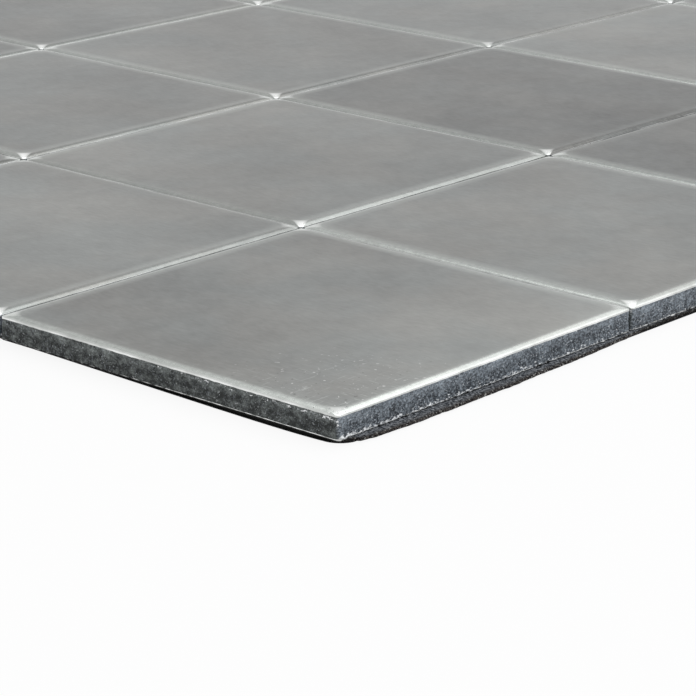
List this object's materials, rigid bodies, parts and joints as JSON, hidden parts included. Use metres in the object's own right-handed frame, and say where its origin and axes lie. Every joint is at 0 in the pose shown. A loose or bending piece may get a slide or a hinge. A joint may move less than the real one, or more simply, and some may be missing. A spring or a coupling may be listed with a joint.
{
  "type": "self-adhesive mosaic tile",
  "caption": "Self-adhesive mosaic sheet of square satin metal-faced composite chips with rolled edges, laid edge to edge on a black adhesive pad with a release film.",
  "frame": {"origin": "middle of the underside, on the release film's lower face", "axes": "+Z out of the face of the tile, +X along a row of chips, +Y along a column of chips"},
  "size_m": [0.3, 0.3, 0.0036],
  "materials": {
    "face_metal": "satin",
    "core_plastic": "torn, mineral-filled",
    "back_metal": "bright",
    "adhesive": "tacky black",
    "film": "smooth"
  },
  "bodies": {
    "root": {"face_skin_r1_c1": "face_metal", "face_skin_r1_c2": "face_metal", "face_skin_r1_c3": "face_metal", "face_skin_r1_c4": "face_metal", "face_skin_r1_c5": "face_metal", "face_skin_r1_c6": "face_metal", "face_skin_r2_c1": "face_metal", "face_skin_r2_c2": "face_metal", "face_skin_r2_c3": "face_metal", "face_skin_r2_c4": "face_metal", "face_skin_r2_c5": "face_metal", "face_skin_r2_c6": "face_metal", "face_skin_r3_c1": "face_metal", "face_skin_r3_c2": "face_metal", "face_skin_r3_c3": "face_metal", "face_skin_r3_c4": "face_metal", "face_skin_r3_c5": "face_metal", "face_skin_r3_c6": "face_metal", "face_skin_r4_c1": "face_metal", "face_skin_r4_c2": "face_metal", "face_skin_r4_c3": "face_metal", "face_skin_r4_c4": "face_metal", "face_skin_r4_c5": "face_metal", "face_skin_r4_c6": "face_metal", "face_skin_r5_c1": "face_metal", "face_skin_r5_c2": "face_metal", "face_skin_r5_c3": "face_metal", "face_skin_r5_c4": "face_metal", "face_skin_r5_c5": "face_metal", "face_skin_r5_c6": "face_metal", "face_skin_r6_c1": "face_metal", "face_skin_r6_c2": "face_metal", "face_skin_r6_c3": "face_metal", "face_skin_r6_c4": "face_metal", "face_skin_r6_c5": "face_metal", "face_skin_r6_c6": "face_metal", "core_row_1": "core_plastic", "core_row_2": "core_plastic", "core_row_3": "core_plastic", "core_row_4": "core_plastic", "core_row_5": "core_plastic", "core_row_6": "core_plastic", "back_skin_row_1": "back_metal", "back_skin_row_2": "back_metal", "back_skin_row_3": "back_metal", "back_skin_row_4": "back_metal", "back_skin_row_5": "back_metal", "back_skin_row_6": "back_metal", "adhesive_pad": "adhesive", "release_film": "film"}
  },
  "joints": []
}
